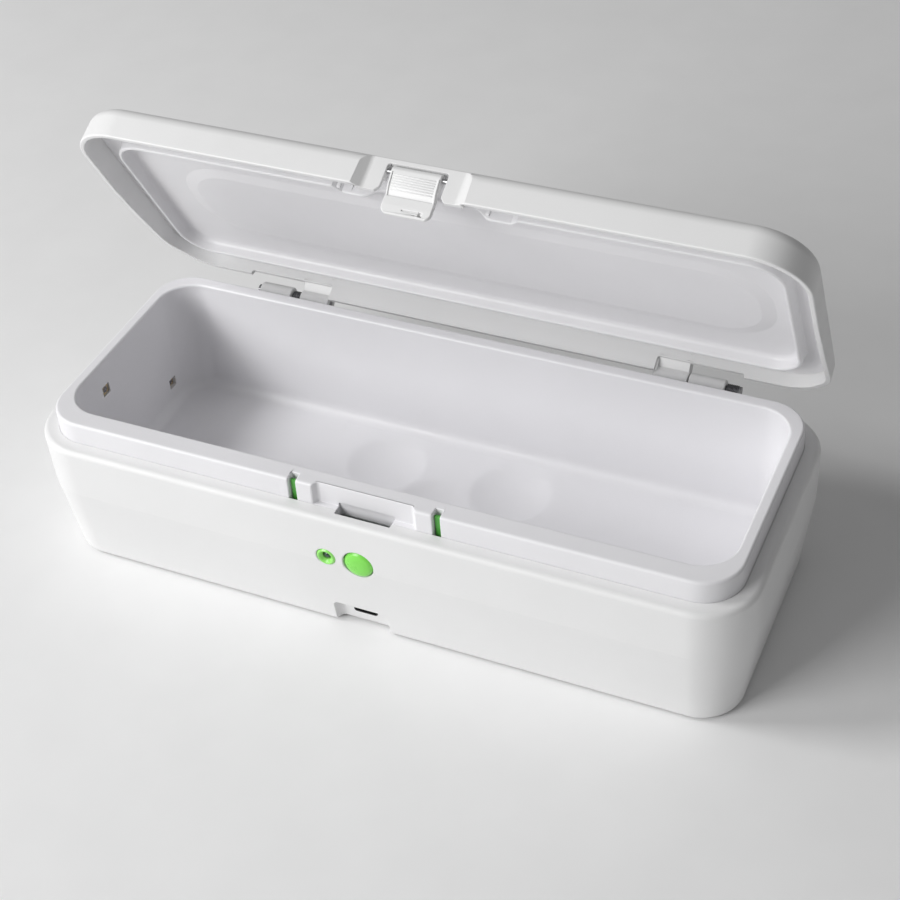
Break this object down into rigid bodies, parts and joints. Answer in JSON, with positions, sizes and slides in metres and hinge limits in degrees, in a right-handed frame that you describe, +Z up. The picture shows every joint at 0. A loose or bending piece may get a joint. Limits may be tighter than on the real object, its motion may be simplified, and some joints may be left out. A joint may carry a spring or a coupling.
{
  "type": "uv sanitizer box for phones",
  "caption": "Long white sanitizing box for a phone with a light-emitting inner tub, a hinged lid held by a ribbed press latch, a green power button with a ring light and a charging port.",
  "frame": {"origin": "Centre of the middle foot, on the plane the five feet stand on, under the middle of the case; the case stands on z = 0.", "axes": "Z up, X along the length of the case, front with the button and latch towards -Y, hinges towards +Y."},
  "size_m": [0.2398, 0.1054, 0.1394],
  "materials": {
    "case_plastic": "fine satin moulded ABS",
    "tub_plastic": "satin moulded ABS",
    "cover_plastic": "fine sparked texture",
    "foot_rubber": "soft silicone",
    "screw_steel": "zinc plated",
    "board_green": "solder mask",
    "black_plastic": "moulded epoxy",
    "lens_dark": "clear tinted lens",
    "socket_metal": "nickel plated shell",
    "board_white": "white solder mask",
    "led_ceramic": "ceramic package with gilt pads",
    "spring_steel": "drawn wire",
    "wire_red": "silicone insulation",
    "ring_green": "translucent bezel",
    "pin_steel": "turned steel",
    "button_green": "satin moulded dome",
    "slider_green": "moulded acetal",
    "lid_plastic": "fine satin moulded ABS",
    "liner_plastic": "satin moulded ABS",
    "latch_plastic": "satin with fine ribs"
  },
  "bodies": {
    "base": {"outer_case": "case_plastic", "tub": "tub_plastic", "bottom_cover": "cover_plastic", "feet": "foot_rubber", "case_screws": "screw_steel", "main_board": "board_green", "push_switch": "black_plastic", "control_chip": "black_plastic", "status_lens": "lens_dark", "board_screws": "screw_steel", "port_board": "board_green", "charging_socket": "socket_metal", "led_board_left": "board_white", "led_board_right": "board_white", "uv_leds_left": "led_ceramic", "uv_leds_right": "led_ceramic", "lid_switches": "black_plastic", "interlock_springs": "spring_steel", "wires_left": "wire_red", "wires_right": "wire_red", "indicator_ring": "ring_green", "hinge_pin_left": "pin_steel", "hinge_pin_right": "pin_steel", "hinge_spring_left": "spring_steel", "hinge_spring_right": "spring_steel"},
    "lid": {"lid_shell": "lid_plastic", "lid_liner": "liner_plastic", "latch_pin": "pin_steel", "latch_spring": "spring_steel"},
    "latch_plate": {"latch": "latch_plastic"},
    "button": {"power_button": "button_green"},
    "slider_left": {"interlock_left": "slider_green"},
    "slider_right": {"interlock_right": "slider_green"}
  },
  "joints": [
    {"name": "lid_hinge", "type": "hinge", "parent": "base", "child": "lid", "pos_m": [0, 0.0503, 0.0493], "axis": [1, 0, 0], "range_deg": [0, 62]},
    {"name": "latch_pivot", "type": "hinge", "parent": "lid", "child": "latch_plate", "pos_m": [0, 0.01261, 0.13595], "axis": [1, 0, 0], "range_deg": [0, 8], "stiffness_Nm_per_rad": 0.02},
    {"name": "button_press", "type": "slide", "parent": "base", "child": "button", "axis": [0, 1, 0], "range_m": [0, 0.0006], "stiffness_N_per_m": 400},
    {"name": "slider_left_press", "type": "slide", "parent": "base", "child": "slider_left", "axis": [0, 1, 0], "range_m": [0, 0.0007], "stiffness_N_per_m": 300},
    {"name": "slider_right_press", "type": "slide", "parent": "base", "child": "slider_right", "axis": [0, 1, 0], "range_m": [0, 0.0007], "stiffness_N_per_m": 300}
  ]
}
